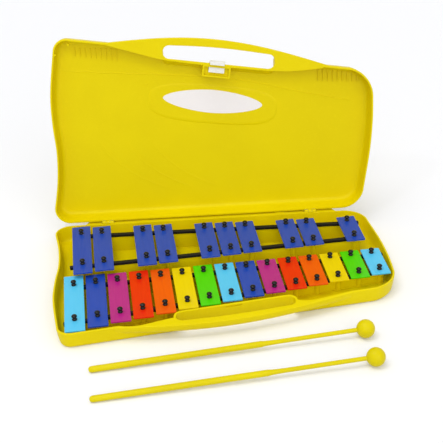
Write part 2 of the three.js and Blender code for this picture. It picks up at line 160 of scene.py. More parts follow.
CAMERA_PLACE = (-0.030322, -1.119506, 0.728735)
AZIMUTH = math.radians(1.768)
ELEVATION = math.radians(29.811)
ROLL = math.radians(-2.38)
LENS = 85.3273
WORLD_LIGHT = 0.62
SUNS = [("key", (-0.3, -0.1, 1.15), 0.9, 40), ("front_fill", (0.25, -1.5, 0.9), 1.08, 60)]
GLINT = {"place": (-0.3, -0.35, 0.95), "width": 0.09, "power": 0.7}
FLOOR_HALF = 6000

# ---- mesh code ------------------------------------------------------------------------


def make(name, points, faces):
    mesh = bpy.data.meshes.new(name)
    mesh.from_pydata([tuple(c * MM for c in point) for point in points], [], faces)
    obj = bpy.data.objects.new(name, mesh)
    bpy.context.scene.collection.objects.link(obj)
    return obj


def loft(name, rings):
    """A closed solid through (z, loop) rings of equal point count."""
    rings = sorted(rings, key=lambda ring: ring[0])
    count = len(rings[0][1])
    points = [(x, y, z) for z, loop in rings for x, y in loop]
    faces = []
    for level in range(len(rings) - 1):
        for i in range(count):
            a = level * count + i
            b = level * count + (i + 1) % count
            faces.append((a, b, b + count, a + count))
    last = (len(rings) - 1) * count
    faces.append(tuple(reversed(range(count))))
    faces.append(tuple(range(last, last + count)))
    return make(name, points, faces)


def prism(name, loop, low, high):
    return loft(name, [(low, loop), (high, loop)])


def place_points(points, x, y, turn):
    c, s = math.cos(turn), math.sin(turn)
    return [(x + c * p - s * q, y + s * p + c * q) for p, q in points]


def block(name, xs, ys, zs, x=0.0, y=0.0, turn=0.0):
    loop = [(xs[0], ys[0]), (xs[1], ys[0]), (xs[1], ys[1]), (xs[0], ys[1])]
    return prism(name, place_points(loop, x, y, turn), zs[0], zs[1])


def circle(x, y, radius, count):
    turns = [2 * math.pi * i / count for i in range(count)]
    return [(x + radius * math.cos(t), y + radius * math.sin(t)) for t in turns]


def rod_along_x(name, radius, x0, x1, y, z, sides=24):
    obj = prism(name, circle(0, 0, radius, sides), x0, x1)
    obj.data.transform(Matrix(((0, 0, 1, 0), (1, 0, 0, y * MM), (0, 1, 0, z * MM), (0, 0, 0, 1))))
    return obj


def lathe(name, profile, sides):
    """A solid of revolution about +Z from (radius, z) pairs whose ends are on the axis."""
    inner = profile[1:-1]
    points = [(0, 0, profile[0][1])]
    for radius, z in inner:
        points += [(x, y, z) for x, y in circle(0, 0, radius, sides)]
    points.append((0, 0, profile[-1][1]))
    top = len(points) - 1
    faces = []
    for i in range(sides):
        j = (i + 1) % sides
        faces.append((0, 1 + j, 1 + i))
        for ring in range(len(inner) - 1):
            a = 1 + ring * sides
            faces.append((a + i, a + j, a + j + sides, a + i + sides))
        a = 1 + (len(inner) - 1) * sides
        faces.append((a + i, a + j, top))
    return make(name, points, faces)


def bake(obj):
    graph = bpy.context.evaluated_depsgraph_get()
    mesh = bpy.data.meshes.new_from_object(obj.evaluated_get(graph))
    old = obj.data
    obj.modifiers.clear()
    obj.data = mesh
    bpy.data.meshes.remove(old)


def combine(obj, other, operation):
    modifier = obj.modifiers.new("combine", "BOOLEAN")
    modifier.solver = "MANIFOLD"
    modifier.operation = operation
    modifier.object = other
    bake(obj)
    bpy.data.objects.remove(other)


def add(obj, other):
    combine(obj, other, "UNION")


def cut(obj, other):
    combine(obj, other, "DIFFERENCE")


def join(name, parts):
    """One object from parts that don't touch."""
    work = bmesh.new()
    for part in parts:
        work.from_mesh(part.data)
        bpy.data.objects.remove(part)
    mesh = bpy.data.meshes.new(name)
    work.to_mesh(mesh)
    work.free()
    obj = bpy.data.objects.new(name, mesh)
    bpy.context.scene.collection.objects.link(obj)
    return obj


def shade(obj, angle=34.0):
    """Smooth shading with sharp edges by angle and normals weighted by face area."""
    work = bmesh.new()
    work.from_mesh(obj.data)
    bmesh.ops.remove_doubles(work, verts=work.verts, dist=2e-6)
    bmesh.ops.dissolve_degenerate(work, edges=work.edges, dist=1e-7)
    for face in work.faces:
        face.smooth = True
    for edge in work.edges:
        edge.smooth = edge.calc_face_angle(0.0) < math.radians(angle)
    work.to_mesh(obj.data)
    work.free()
    modifier = obj.modifiers.new("weighted", "WEIGHTED_NORMAL")
    modifier.keep_sharp = True
    bake(obj)


def bevel(obj, width, segments=3):
    modifier = obj.modifiers.new("bevel", "BEVEL")
    modifier.width = width * MM
    modifier.segments = segments
    modifier.limit_method = "ANGLE"
    modifier.angle_limit = math.radians(40)
    bake(obj)


# ---- outlines -------------------------------------------------------------------------


def arc(corner, steps=14):
    x, y, radius, start, end = corner
    turns = [math.radians(start + (end - start) * i / steps) for i in range(steps + 1)]
    return [(x + radius * math.cos(t), y + radius * math.sin(t)) for t in turns]


def spline(points, steps):
    """A Catmull-Rom curve through the points, both ends included."""
    result = []
    last = len(points) - 1
    for k in range(steps + 1):
        at = last * k / steps
        i = min(int(at), last - 1)
        w = at - i
        p = [points[max(i - 1, 0)], points[i], points[i + 1], points[min(i + 2, last)]]
        result.append(tuple(
            0.5 * (
                2 * b + (c - a) * w + (2 * a - 5 * b + 4 * c - d) * w * w
                + (3 * b - a - 3 * c + d) * w ** 3
            )
            for a, b, c, d in zip(*p)
        ))
    return result


def front_line(x):
    return FRONT_Y + FRONT_SLOPE * x


def bulge(x):
    return GRIP_REACH * math.sin(math.pi * (x - GRIP_LEFT) / (GRIP_RIGHT - GRIP_LEFT))


def inset(loop, distance):
    """Moves every point of an anticlockwise loop inwards."""
    result = []
    for i, (x, y) in enumerate(loop):
        before, after = loop[i - 1], loop[(i + 1) % len(loop)]
        a = Vector((before[1] - y, x - before[0])).normalized()
        b = Vector((y - after[1], after[0] - x)).normalized()
        reach = distance / (1 + a.dot(b))
        result.append((x + (a.x + b.x) * reach, y + (a.y + b.y) * reach))
    return result


def case_outline():
    front_left = arc(FRONT_LEFT)
    front_right = arc(FRONT_RIGHT)
    back_right = arc(BACK_RIGHT)
    back_left = arc(BACK_LEFT)
    right = spline([front_right[-1], *RIGHT_SIDE, back_right[0]], 24)[1:-1]
    left = spline([back_left[-1], *LEFT_SIDE, front_left[0]], 24)[1:-1]
    return front_left + front_right + right + back_right + back_left + left


def grip_outline(shrink):
    steps = 48
    xs = [GRIP_LEFT + (GRIP_RIGHT - GRIP_LEFT) * i / steps for i in range(steps + 1)]
    rim = [(x, front_line(x) - bulge(x) + shrink) for x in xs]
    return rim + [(x, front_line(x) + 6) for x in (GRIP_RIGHT, GRIP_LEFT)]


def slot_inner(x):
    return SLOT_INNER_AT + SLOT_SLOPE * x


def slot_outer(x):
    bow = SLOT_BOW * math.sin(math.pi * (x - SLOT_LEFT) / (SLOT_RIGHT - SLOT_LEFT))
    return SLOT_OUTER_AT + SLOT_OUTER_SLOPE * x - bow


# where the latch stands: x, y and turn
LATCH_PLACE = (LATCH_X, slot_inner(LATCH_X), math.atan(SLOT_SLOPE))


def slot_outline(widening=0.0):
    """The finger slot, with its inner edge moved towards the hinge."""
    r = SLOT_END
    x0, x1 = SLOT_LEFT + r, SLOT_RIGHT - r
    outer = [(x, slot_outer(x)) for x in [x0 + 4 + (x1 - x0 - 8) * i / 20 for i in range(21)]]
    return (
        arc((x0, slot_outer(x0) + r, r, 180, 270), 8) + outer
        + arc((x1, slot_outer(x1) + r, r, 285, 360), 8)
        + arc((x1, slot_inner(x1) - r + widening, r, 5, 98), 8)
        + arc((x0, slot_inner(x0) - r + widening, r, 98, 175), 8)
    )


# ---- case shells ----------------------------------------------------------------------

# (height above the outer face, inset) of the walls, open side up
OUTER_WALL = [
    (0, 6.2), (0.25, 5.1), (0.9, 4.1), (1.9, 3.3), (3.2, 2.7), (5, 2.2), (12, 1.0), (RIM - 3.6, 0.35),
    (RIM - 3.0, 0.1), (RIM - 0.8, 0.0), (RIM - 0.3, 0.15), (RIM - 0.05, 0.45), (RIM, 0.8),
]
INNER_WALL = [
    (FLOOR, 10.5), (FLOOR + 0.25, 8.8), (FLOOR + 0.9, 7.3), (FLOOR + 2.1, 6.1), (6.6, 5.0), (12, 3.9),
    (RIM - 2, RIM_WALL), (RIM - 0.7, RIM_WALL - 0.1), (RIM - 0.2, RIM_WALL - 0.35),
    (RIM + 8, RIM_WALL - 0.6),
]
GRIP_WALL = [
    (RIM - 12, 6.0), (RIM - 11.2, 4.2), (RIM - 9.6, 2.6), (RIM - 7.6, 1.3), (RIM - 5.2, 0.5),
    (RIM - 3, 0.1), (RIM - 0.8, 0.0), (RIM - 0.3, 0.15), (RIM - 0.05, 0.45), (RIM, 0.8),
]


def shell(name, flip):
    """Walls, cavity, collar and slot as separate solids; flip makes them open side down."""
    outline = case_outline()
    slot = slot_outline()
    deep = slot_outline(SCOOP if flip else 0.0)

    def level(z, loop):
        return (CASE_HEIGHT - z if flip else z, loop)

    walls = loft(name, [level(z, inset(outline, d)) for z, d in OUTER_WALL])
    grip = loft("grip", [level(z, grip_outline(d)) for z, d in GRIP_WALL])
    cavity = loft("cavity", [level(z, inset(outline, d)) for z, d in INNER_WALL])
    collar = loft("collar", [
        level(-2, inset(deep, -COLLAR - 0.5)), level(RIM - 0.9, inset(slot, -COLLAR)),
        level(RIM - 0.25, inset(slot, -COLLAR + 0.2)), level(RIM, inset(slot, -COLLAR + 0.75)),
        level(RIM + 9, inset(slot, -COLLAR + 0.8)),
    ])
    hole = loft("slot", [
        level(-5, inset(deep, -1.2)), level(0, inset(deep, -0.8)), level(0.8, inset(deep, 0)),
        level(RIM - 0.9, slot), level(RIM - 0.25, inset(slot, -0.2)),
        level(RIM, inset(slot, -0.75)), level(RIM + 9, inset(slot, -0.9)),
    ])
    return walls, grip, cavity, collar, hole


def add_knuckles(obj, side):
    for x in HINGE_X:
        outer = [x - KNUCKLE_STEP, x + KNUCKLE_STEP]
        own, other = (outer, [x]) if side == "base" else ([x], outer)
        low, high = (HINGE_Z - 6, HINGE_Z - 1.2) if side == "base" else (HINGE_Z + 1.2, HINGE_Z + 6)
        half = KNUCKLE_WIDTH / 2
        room = half + 0.2
        for at in other:
            if side == "base":
                depth = (HINGE_Y, STOP_BACK + 0.5)
                cut(obj, block("room", (at - room, at + room), depth, (12.5, HINGE_Z + 1)))
            cut(obj, rod_along_x("room", KNUCKLE + 0.5, at - room, at + room, HINGE_Y, HINGE_Z))
        for at in own:
            add(obj, rod_along_x("knuckle", KNUCKLE, at - half, at + half, HINGE_Y, HINGE_Z))
            add(obj, block("web", (at - half, at + half), (BACK_Y - 1.5, HINGE_Y + 1.6), (low, high)))
        cut(obj, rod_along_x("bore", BORE, x - 9, x + 9, HINGE_Y, HINGE_Z))


def strip_place(node):
    row, at, slope = STRIPS[node]
    right = row["x"] + row["last"] * row["dx"]
    mid = (row["x"] + right) / 2
    return mid, at + slope * mid, math.atan(slope), (right - row["x"]) / 2


def bar_centre(node):
    low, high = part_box(node)
    return [(a + b) / 2 / MM for a, b in zip(low, high)]


def bar_length(node):
    low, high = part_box(node)
    return ((high[1] - low[1]) / MM - BAR_WIDTH * math.sin(LEAN)) / math.cos(LEAN)


def pin_point(bar_node, rail_node):
    """Where a bar's long axis crosses a strip."""
    x, y, _ = bar_centre(bar_node)
    _, at, slope = STRIPS[rail_node]
    along_x, along_y = -math.sin(LEAN), math.cos(LEAN)
    distance = (at + slope * x - y) / (along_y - slope * along_x)
    return x + distance * along_x, y + distance * along_y


BARS = [name for name in frame["nodes"] if name.startswith("bar_")]
UPPER_BARS = [name for name in BARS if "_sharp_" in name]
LOWER_BARS = [name for name in BARS if "_sharp_" not in name]
ROW_BARS = {node: UPPER_BARS if node.startswith("upper") else LOWER_BARS for node in STRIPS}


def case_base():
    base, grip, cavity, collar, hole = shell("case_base_shell", False)
    add(base, grip)
    for edge, back in ((LEFT_POCKET, LEFT_POCKET_BACK), (RIGHT_POCKET, RIGHT_POCKET_BACK)):
        loop = spline(edge, 24) + back
        add(cavity, loft("pocket", [
            (RIM - 9, inset(loop, 2.2)), (RIM - 8, inset(loop, 1)), (RIM - 2, loop),
            (RIM + 3, inset(loop, -0.4)),
        ]))
    cut(cavity, collar)
    cut(base, cavity)
    cut(base, hole)
    for node in STRIPS:
        x, y, turn, half = strip_place(node)
        top = STRIPS[node][0]["top"] - BAR_THICKNESS - STRIP_HEIGHT - 2 * GAP
        reach = half + STRIP_OVERHANG - 4
        wall = loft("rib", [
            (z, place_points([(-reach, -w), (reach, -w), (reach, w), (-reach, w)], x, y, turn))
            for z, w in ((FLOOR - 1, 2.0), (FLOOR + 1, 1.6), (top, 1.3))
        ])
        add(base, wall)
        bosses = []
        for bar in ROW_BARS[node]:
            px, py = pin_point(bar, node)
            levels = ((FLOOR - 1, 4.6), (FLOOR + 2, 4.1), (top - 0.4, 3.9), (top, 3.5))
            bosses.append(loft("boss", [(z, circle(px, py, r, 20)) for z, r in levels]))
        add(base, join("bosses", bosses))
    cut(base, block("notch", (-10, 10), (-1, 1.8), (18.0, 20.5), *LATCH_PLACE))
    left, right, back, low = FLANGE["left"], FLANGE["right"], FLANGE["back"], FLANGE["low"]
    shelf = [
        (left, back), (left - FLANGE["flare"], BACK_Y - 1),
        (right + FLANGE["flare"], BACK_Y - 1), (right, back),
    ]
    levels = ((low, 0.6), (low + 0.5, 0), (RIM - 0.4, 0), (RIM, 0.5))
    add(base, loft("flange", [(z, inset(shelf, d)) for z, d in levels]))
    for x in STOP_X:
        width = (x - STOP_HALF, x + STOP_HALF)
        add(base, block("lug", width, (BACK_Y - 2, STOP_BACK), (13, 21.6)))
        add(base, block("lug_lip", width, (128.6, STOP_BACK), (21, 22.9)))
    add_knuckles(base, "base")
    shade(base)
    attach(base, "case")
    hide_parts("case_base")
    return base


# ---- the lid, modelled closed ---------------------------------------------------------

ROOF = CASE_HEIGHT - FLOOR
OPENING = (
    Matrix.Translation((0, HINGE_Y * MM, HINGE_Z * MM))
    @ Matrix.Rotation(-OPEN_ANGLE, 4, "X")
    @ Matrix.Translation((0, -HINGE_Y * MM, -HINGE_Z * MM))
)


def raised_path(name, points, half_width, height):
    """A low rounded ridge under the roof that follows a path."""
    bands = [(-1.0, 0.0), (-0.6, 0.75), (0.0, 1.0), (0.6, 0.75), (1.0, 0.0)]
    count = len(bands) + 1
    rows = []
    for i, (x, y) in enumerate(points):
        x0, y0 = points[max(i - 1, 0)]
        x1, y1 = points[min(i + 1, len(points) - 1)]
        across = Vector((y0 - y1, x1 - x0)).normalized()
        fade = min(1.0, 0.15 + i / 4, 0.15 + (len(points) - 1 - i) / 4)
        for w, h in bands:
            reach = w * half_width
            rows.append((x + across.x * reach, y + across.y * reach, ROOF - h * height * fade))
        rows.append((x, y, ROOF + 0.6))
    faces = []
    for i in range(len(points) - 1):
        for k in range(count):
            a, b = i * count + k, i * count + (k + 1) % count
            faces.append((a, b, b + count, a + count))
    last = (len(points) - 1) * count
    faces.append(tuple(reversed(range(count))))
    faces.append(tuple(range(last, last + count)))
    obj = make(name, rows, faces)
    work = bmesh.new()
    work.from_mesh(obj.data)
    bmesh.ops.recalc_face_normals(work, faces=work.faces)
    work.to_mesh(obj.data)
    work.free()
    return obj


def superellipse(x, y, a, b, power, turn, count=96):
    points = []
    for i in range(count):
        t = 2 * math.pi * i / count
        c, s = math.cos(t), math.sin(t)
        along = math.copysign(abs(c) ** (2 / power), c) * a
        across = math.copysign(abs(s) ** (2 / power), s) * b
        points.append((along, across))
    return place_points(points, x, y, turn)


def add_latch_guide(lid):
    """Walls, ledges and a back round the latch, and the mouth that it shows through."""
    wall_height = (PARTING_Z + 0.4, ROOF + 1)
    for sign in (-1, 1):
        wall = sorted((sign * 16.0, sign * 18.2))
        ledge = sorted((sign * 8.6, sign * 16.3))
        add(lid, block("guide", wall, (1, 18.4), wall_height, *LATCH_PLACE))
        add(lid, block("ledge", ledge, (3, 17), (26.5, 28.2), *LATCH_PLACE))
    add(lid, block("guide_end", (-18.2, 18.2), (16.4, 18.4), wall_height, *LATCH_PLACE))
    add(lid, block("guide_rib", (-0.7, 0.7), (13.4, 17), (24.5, 27), *LATCH_PLACE))
    add(lid, block("bridge", (-16.5, 16.5), (1, 5.2), (PARTING_Z + 0.15, 23.6), *LATCH_PLACE))
    add(lid, block("pocket_floor", (-16.3, 16.3), (9, 17), (26.7, 28.2), *LATCH_PLACE))
    cut(lid, block("mouth", (-10.5, 10.5), (-2, 8), (23.3, 26.5), *LATCH_PLACE))


def case_lid():
    lid, grip, cavity, collar, hole = shell("case_lid_shell", True)
    add(lid, grip)
    edge = [(x, front_line(x) + 1) for x in LAND_X] + spline(LAND_ARCH, 60)[::-1]
    low = CASE_HEIGHT - RIM
    cut(cavity, loft("land", [
        (low - 9, inset(edge, 0.75)), (low, inset(edge, 0.7)), (low + 0.25, inset(edge, 0.2)),
        (low + 0.9, edge), (ROOF - 3, inset(edge, -1.2)), (ROOF + 1, inset(edge, -2.2)),
    ]))
    cut(cavity, collar)
    cut(lid, cavity)
    for ribs in CORNER_RIBS:
        for i in range(CORNER_RIB_COUNT):
            x = ribs["x"] + ribs["step"] * i
            ys = [y + grow * i for y, grow in zip(ribs["y"], ribs["grow"])]
            add(lid, block("rib", (x - 0.5, x + 0.5), ys, (ROOF - 2.2, ROOF + 1)))
    # the pad that the label lies on
    levels = ((-0.8, -1.4), (0, -1.0), (0.3, -0.3), (0.62, 0.8), (0.78, 2.2), (0.82, 4.0))
    add(lid, loft("pad", [
        (ROOF - d, superellipse(
            PAD["x"], PAD["y"], PAD["half_length"] - r, PAD["half_height"] - r, PAD["power"], LABEL["turn"],
        ))
        for d, r in levels
    ]))
    add(lid, raised_path("crease", spline(CREASE, 60), 0.9, 0.45))
    for start in FLOW_MARK_X:
        add(lid, raised_path("arc", spline([(start + x, y) for x, y in FLOW_MARK], 30), 1.1, 0.22))
    levels = ((-0.5, 1.6), (0.5, 1.5), (0.7, 1.1))
    add(lid, loft("gate", [(ROOF - d, circle(*GATE, r, 20)) for d, r in levels]))
    add_latch_guide(lid)
    cut(lid, hole)
    for place in CATCHES:
        add(lid, block("tab", (-1.1, 1.1), (0, 3.4), (PARTING_Z + 0.6, PARTING_Z + 7), *place))
    add_knuckles(lid, "lid")
    lid.data.transform(OPENING)
    shade(lid)
    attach(lid, "lid")
    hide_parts("case_lid")
    return lid


def label_plate():
    def loop(shrink):
        a, b = LABEL["half_length"] - shrink, LABEL["half_height"] - shrink
        return superellipse(LABEL["x"], LABEL["y"], a, b, LABEL_POWER, LABEL["turn"])

    top = ROOF - GAP
    levels = ((0, 0), (0.5, 0), (0.64, 0.08), (0.7, 0.25))
    obj = loft("label_face", [(top - d, loop(r)) for d, r in levels])
    obj.data.transform(OPENING)
    shade(obj)
    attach(obj, "lid")
    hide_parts("label_plate")
    return obj


def latch_slider():
    obj = block("latch_face", (-10.2, 10.2), (-3, 12.5), (23.6, 26.2), *LATCH_PLACE)
    add(obj, block("leg", (-9.4, 9.4), (-3, -0.5), (18.4, 26.2), *LATCH_PLACE))
    add(obj, block("hook", (-9.4, 9.4), (-3, 1.4), (18.4, 20.0), *LATCH_PLACE))
    for z in (20.6, 22.2, 23.8):
        cut(obj, block("groove", (-7.2, 7.2), (-3.4, -2.6), (z - 0.35, z + 0.35), *LATCH_PLACE))
    cut(obj, block("panel", (-7.4, 7.4), (6.4, 10.6), (23.2, 24.0), *LATCH_PLACE))
    bevel(obj, 0.3, 2)
    obj.data.transform(OPENING)
    shade(obj)
    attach(obj, "latch")
    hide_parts("latch_slider")
    return obj


# ---- bars, strips and pins ------------------------------------------------------------


def rounded_rectangle(a, b, radius, steps=5):
    corners = ((a, b, 0), (-a, b, 90), (-a, -b, 180), (a, -b, 270))
    loop = []
    for x, y, start in corners:
        cx, cy = x - math.copysign(radius, x), y - math.copysign(radius, y)
        loop += arc((cx, cy, radius, start, start + 90), steps)
    return loop


def bar_piece(node, rails):
    x, y, _ = bar_centre(node)
    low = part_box(node)[0][2] / MM
    half = bar_length(node) / 2
    rings = []
    for z, d in ((0, 0.4), (0.08, 0.18), (0.3, 0), (1.65, 0), (1.9, 0.12), (2.0, 0.4)):
        loop = rounded_rectangle(BAR_WIDTH / 2 - d, half - d, 0.9 - d * 0.6)
        rings.append((low + z, place_points(loop, x, y, LEAN)))
    obj = loft(f"{node}_plate", rings)
    holes = []
    for rail in rails:
        px, py = pin_point(node, rail)
        levels = ((-1, BAR_HOLE), (1.6, BAR_HOLE), (2.1, BAR_HOLE + 0.45))
        holes.append(loft("hole", [(low + z, circle(px, py, r, 24)) for z, r in levels]))
    cut(obj, join("holes", holes))
    shade(obj)
    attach(obj, "case")
    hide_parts(node)
    return obj


# (radius, height above the bar's face)
PIN_PROFILE = [
    (0, -3.2), (1.6, -3.2), (1.6, 0.2), (2.7, 0.3), (3.05, 0.55), (3.1, 1.0), (2.8, 1.55), (2.2, 2.1),
    (1.85, 2.7), (1.9, 3.3), (2.4, 3.75), (3.1, 4.1), (3.4, 4.6), (3.42, 5.1), (3.2, 5.75), (2.65, 6.4),
    (1.8, 6.85), (0.9, 7.1),
    (0, 7.15),
]


def rail_pieces(node):
    row = STRIPS[node][0]
    x, y, turn, half = strip_place(node)
    top = row["top"] - BAR_THICKNESS - GAP
    reach = half + STRIP_OVERHANG
    strip = loft(f"{node}_cushion", [
        (top - STRIP_HEIGHT + z, place_points(
            rounded_rectangle(reach - d, STRIP_WIDTH / 2 - d, 1.5 - d * 0.8), x, y, turn))
        for z, d in ((0, 0.5), (0.15, 0.2), (0.5, 0), (3.5, 0), (3.95, 0.25), (4.2, 0.8))
    ])
    shade(strip)
    pieces = [strip]
    pin_mesh = None
    for bar in ROW_BARS[node]:
        px, py = pin_point(bar, node)
        name = f"pin_{node.replace('_rail', '')}_{bar[4:]}"
        if pin_mesh is None:
            pin = lathe(name, PIN_PROFILE, 28)
            shade(pin, 50)
            pin_mesh = pin.data
        else:
            pin = bpy.data.objects.new(name, pin_mesh)
            bpy.context.scene.collection.objects.link(pin)
        pin.location = (px * MM, py * MM, row["top"] * MM)
        pieces.append(pin)
    for piece in pieces:
        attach(piece, "case")
        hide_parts(node)
    return strip, pieces[1:]


# ---- mallets --------------------------------------------------------------------------


def mallet_pieces(name, start, end):
    a = Vector((*start, BUTT))
    b = Vector((*end, BALL))
    reach = (b - a).length
    step = reach * TAPER_START
    turn = Vector((0, 0, 1)).rotation_difference(b - a).to_matrix().to_4x4()
    place = Matrix.Translation(a * MM) @ turn
    shaft = lathe(f"{name}_handle", [
        (0, 0), (1.2, 0.12), (2.2, 0.5), (3.0, 1.3), (3.5, 2.4), (BUTT - 0.03, 4.0), (BUTT, 5.5),
        (BUTT - 0.05, 40),
        (3.7, step - 8), (3.68, step - 1), (3.5, step), (3.1, step + 3), (NECK + 0.25, step + 9),
        (NECK + 0.05, step + 18), (NECK, reach - 26), (NECK, reach - 14), (NECK, reach - 1), (0, reach - 1),
    ], 32)
    rings = 28
    profile = [(NECK + GAP, reach - math.sqrt(BALL ** 2 - (NECK + GAP) ** 2))]
    start_angle = math.asin((NECK + GAP) / BALL)
    for i in range(1, rings):
        t = start_angle + (math.pi - start_angle) * i / rings
        # the mould's parting line is a fine raised ring
        r = BALL - 0.05 + 0.05 * math.exp(-((t - math.pi / 2) / 0.03) ** 2)
        profile.append((r * math.sin(t), reach - r * math.cos(t)))
    inside = [(0, reach - 0.7), (NECK + GAP, reach - 0.7)]
    head = lathe(f"{name}_ball", inside + profile + [(0, reach + BALL - 0.05)], 40)
    for piece, node in ((shaft, f"{name}_shaft"), (head, f"{name}_head")):
        piece.data.transform(place)
        work = bmesh.new()
        work.from_mesh(piece.data)
        bmesh.ops.recalc_face_normals(work, faces=work.faces)
        work.to_mesh(piece.data)
        work.free()
        shade(piece, 40)
        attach(piece, name)
        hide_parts(node)
    return [shaft, head]


# ---- materials ------------------------------------------------------------------------


def linear(colour):
    values = [int(colour[i:i + 2], 16) / 255 for i in (0, 2, 4)]
    return [v / 12.92 if v <= 0.04045 else ((v + 0.055) / 1.055) ** 2.4 for v in values] + [1.0]


def noise(tree, coordinates, scale, detail=4.0, roughness=0.55):
    node = tree.nodes.new("ShaderNodeTexNoise")
    node.inputs["Scale"].default_value = scale
    node.inputs["Detail"].default_value = detail
    node.inputs["Roughness"].default_value = roughness
    tree.links.new(coordinates, node.inputs["Vector"])
    return node.outputs["Fac"]


def spread(tree, value, low, high, start=0.3, end=0.7):
    node = tree.nodes.new("ShaderNodeMapRange")
    node.inputs["From Min"].default_value = start
    node.inputs["From Max"].default_value = end
    node.inputs["To Min"].default_value = low
    node.inputs["To Max"].default_value = high
    tree.links.new(value, node.inputs["Value"])
    return node.outputs["Result"]


def blend_colours(tree, factor, first, second):
    node = tree.nodes.new("ShaderNodeMix")
    node.data_type = "RGBA"
    tree.links.new(factor, node.inputs["Factor"])
    for socket, value in ((6, first), (7, second)):
        if isinstance(value, list):
            node.inputs[socket].default_value = value
        else:
            tree.links.new(value, node.inputs[socket])
    return node.outputs[2]


def add_bump(tree, shader, height, strength, distance):
    node = tree.nodes.new("ShaderNodeBump")
    node.inputs["Strength"].default_value = strength
    node.inputs["Distance"].default_value = distance
    tree.links.new(height, node.inputs["Height"])
    tree.links.new(node.outputs["Normal"], shader.inputs["Normal"])


def start_material(name, turn=0.0, stretch=(1, 1, 1)):
    material = bpy.data.materials.new(name)
    material.use_nodes = True
    tree = material.node_tree
    shader = tree.nodes["Principled BSDF"]
    where = tree.nodes.new("ShaderNodeTexCoord")
    mapping = tree.nodes.new("ShaderNodeMapping")
    mapping.vector_type = "TEXTURE"
    mapping.inputs["Rotation"].default_value = (0, 0, turn)
    mapping.inputs["Scale"].default_value = stretch
    tree.links.new(where.outputs["Object"], mapping.inputs["Vector"])
    return material, tree, shader, where.outputs["Object"], mapping.outputs["Vector"]


def plastic(name, colour, deep, pale, rough=(0.34, 0.5), grain=900.0, bump=0.12, coat=0.0):
    """Moulded plastic: slow colour drift, fine moulded grain, faint scuffs."""
    material, tree, shader, flat, _ = start_material(name)
    drift = noise(tree, flat, 9.0, 3.0)
    base = blend_colours(tree, spread(tree, drift, 0.0, 1.0), linear(deep), linear(colour))
    speck = noise(tree, flat, 260.0, 2.0)
    base = blend_colours(tree, spread(tree, speck, 0.0, 0.35, 0.55, 0.85), base, linear(pale))
    tree.links.new(base, shader.inputs["Base Color"])
    scuffs = noise(tree, flat, 60.0, 6.0, 0.7)
    tree.links.new(spread(tree, scuffs, rough[0], rough[1], 0.35, 0.65), shader.inputs["Roughness"])
    shader.inputs["Specular IOR Level"].default_value = 0.1
    shader.inputs["Coat Weight"].default_value = coat
    add_bump(tree, shader, noise(tree, flat, grain, 3.0), bump, 0.0002)
    return material


def enamel(name, colour, deep):
    """Sprayed enamel on a steel bar: lengthwise streaks, slow colour drift and orange peel."""
    material, tree, shader, flat, along = start_material(name, LEAN, (1, 14, 1))
    streak = noise(tree, along, 420.0, 4.0)
    drift = noise(tree, flat, 22.0, 2.0)
    base = blend_colours(tree, spread(tree, streak, 0.0, 0.55), linear(colour), linear(deep))
    base = blend_colours(tree, spread(tree, drift, 0.0, 0.3), base, linear(deep))
    tree.links.new(base, shader.inputs["Base Color"])
    tree.links.new(spread(tree, streak, 0.28, 0.42), shader.inputs["Roughness"])
    shader.inputs["Specular IOR Level"].default_value = 0.2
    shader.inputs["Coat Weight"].default_value = 0.12
    shader.inputs["Coat Roughness"].default_value = 0.14
    add_bump(tree, shader, noise(tree, flat, 620.0, 2.0), 0.06, 0.0002)
    return material


def rubber(name, colour, pale, rough):
    """Black rubber or soft plastic with a little dust."""
    material, tree, shader, flat, _ = start_material(name)
    dust = noise(tree, flat, 140.0, 5.0, 0.65)
    tree.links.new(
        blend_colours(tree, spread(tree, dust, 0.0, 0.6, 0.45, 0.8), linear(colour), linear(pale)),
        shader.inputs["Base Color"],
    )
    tree.links.new(spread(tree, dust, rough[0], rough[1]), shader.inputs["Roughness"])
    shader.inputs["Specular IOR Level"].default_value = 0.25
    add_bump(tree, shader, noise(tree, flat, 1500.0, 2.0), 0.1, 0.0002)
    return material


def brushed_steel(name):
    material, tree, shader, _, along = start_material(name, 0.0, (10, 1, 1))
    lines = noise(tree, along, 900.0, 3.0)
    steel = blend_colours(tree, lines, linear("8c8c8c"), linear("c9c9c6"))
    tree.links.new(steel, shader.inputs["Base Color"])
    tree.links.new(spread(tree, lines, 0.22, 0.4), shader.inputs["Roughness"])
    shader.inputs["Metallic"].default_value = 1.0
    add_bump(tree, shader, lines, 0.08, 0.0001)
    return material


def paint(obj, material):
    obj.data.materials.clear()
    obj.data.materials.append(material)


# ---- the pieces -----------------------------------------------------------------------

CASE = plastic("case_yellow", "e6d200", "e0cb00", "ecd912")
MALLET = plastic("mallet_yellow", "dccb00", "d2c000", "e4d41c", (0.3, 0.42), coat=0.05)
LATCH_WHITE = plastic("latch_white", "eeeeea", "e6e6e0", "f6f6f4")
LABEL_WHITE = plastic("label_white", "f3efee", "eeeae9", "f8f6f5", (0.4, 0.5), 1400.0, 0.05)
BLACK = rubber("cushion_black", "080808", "161615", (0.42, 0.6))
PIN_BLACK = rubber("pin_black", "060606", "0e0e0e", (0.14, 0.22))
STEEL = brushed_steel("hinge_steel")
ENAMELS = {
    "g": ("bar_cyan", enamel("enamel_cyan", "57c6ee", "4dbde8")),
    "a": ("bar_blue", enamel("enamel_blue", "1c47b0", "183fa2")),
    "b": ("bar_magenta", enamel("enamel_magenta", "b62083", "a91c78")),
    "c": ("bar_red", enamel("enamel_red", "e62804", "d82303")),
    "d": ("bar_orange", enamel("enamel_orange", "ec5c04", "e05302")),
    "e": ("bar_yellow", enamel("enamel_yellow", "e8cf00", "dec400")),
    "f": ("bar_green", enamel("enamel_green", "4bd200", "43c600")),
}
SHARP = ("bar_sharp_blue", enamel("enamel_sharp_blue", "2048b0", "1b40a2"))

